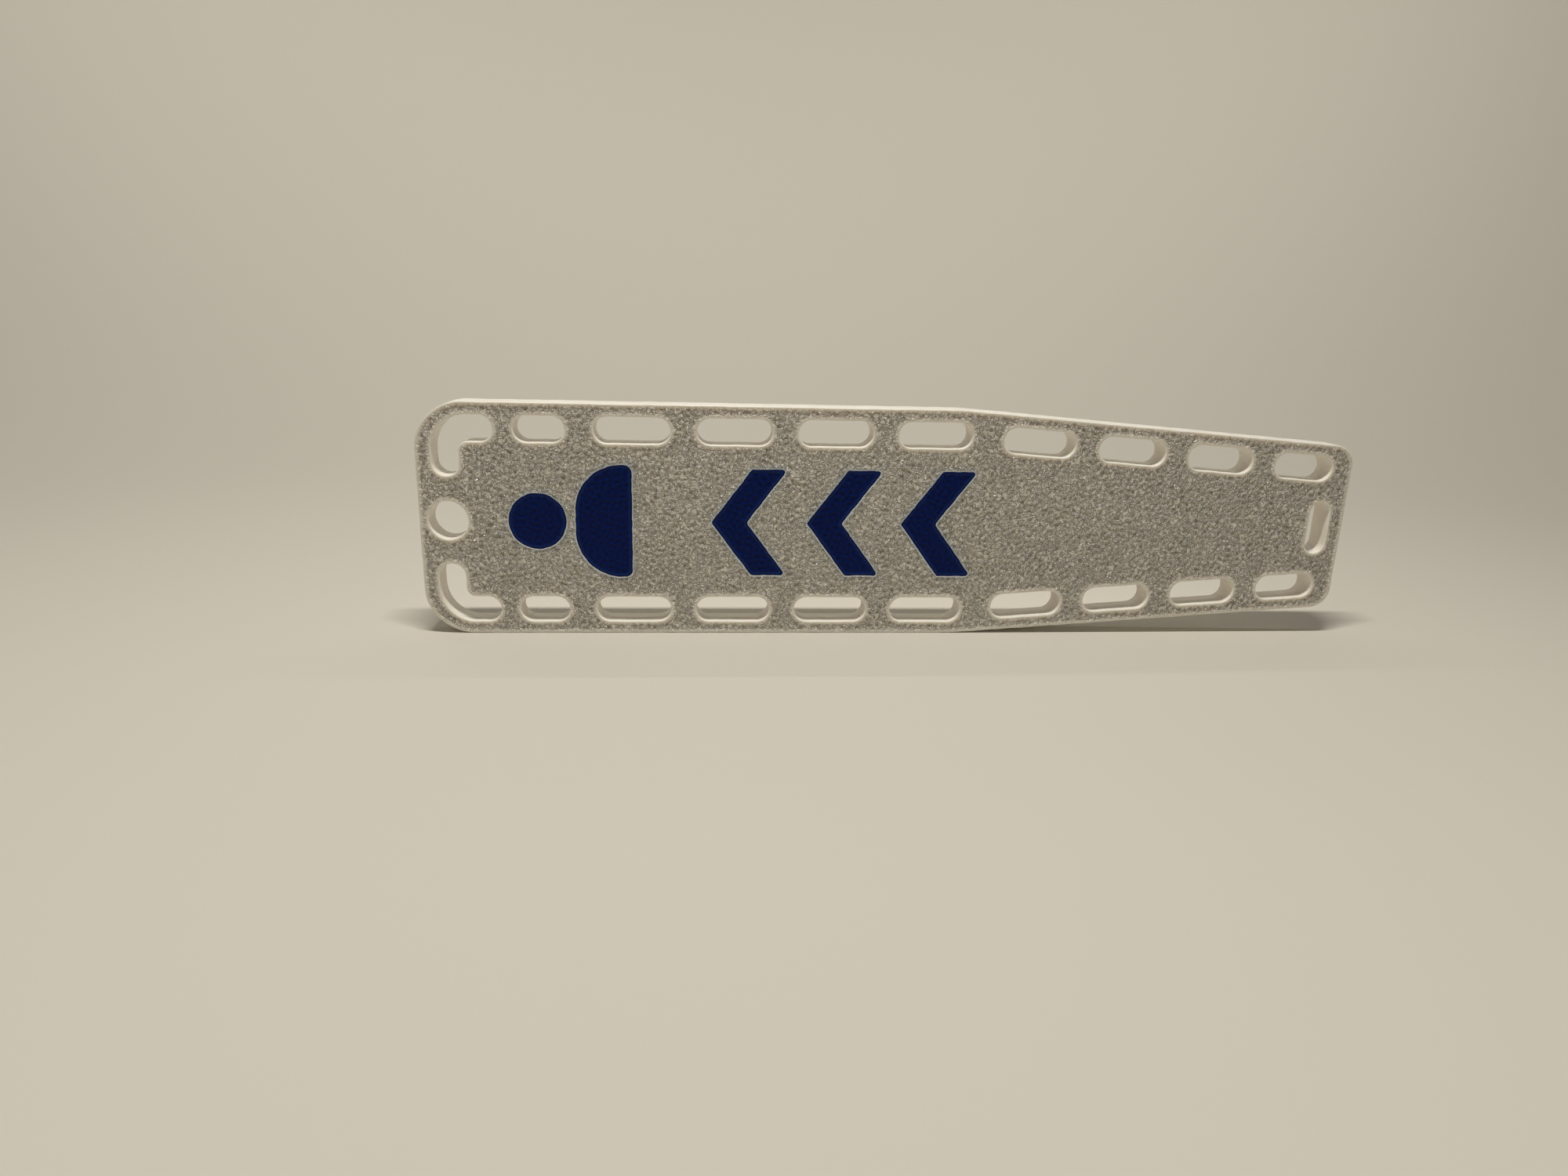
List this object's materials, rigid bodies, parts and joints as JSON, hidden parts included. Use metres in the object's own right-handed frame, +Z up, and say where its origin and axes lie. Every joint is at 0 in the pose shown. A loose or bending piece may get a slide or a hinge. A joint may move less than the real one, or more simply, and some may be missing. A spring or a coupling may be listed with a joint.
{
  "type": "miniature spine board",
  "caption": "Flat slotted plate with one tapered end, strap and hand slots along both long edges, a round head hole and dark inlays flush in its face.",
  "frame": {"origin": "on the floor, under the middle of the board's length and thickness, with the board standing on its straight long edge", "axes": "+X along the board from the head end to the tapered foot end, -Y out of the face with the inlays, +Z up, across the board's width"},
  "size_m": [0.1, 0.003, 0.0245],
  "materials": {
    "plate": "grained",
    "inlay": "grained"
  },
  "bodies": {
    "root": {"board": "plate", "head_mark_disc": "inlay", "head_mark_shoulders": "inlay", "chevron_1": "inlay", "chevron_2": "inlay", "chevron_3": "inlay"}
  },
  "joints": []
}
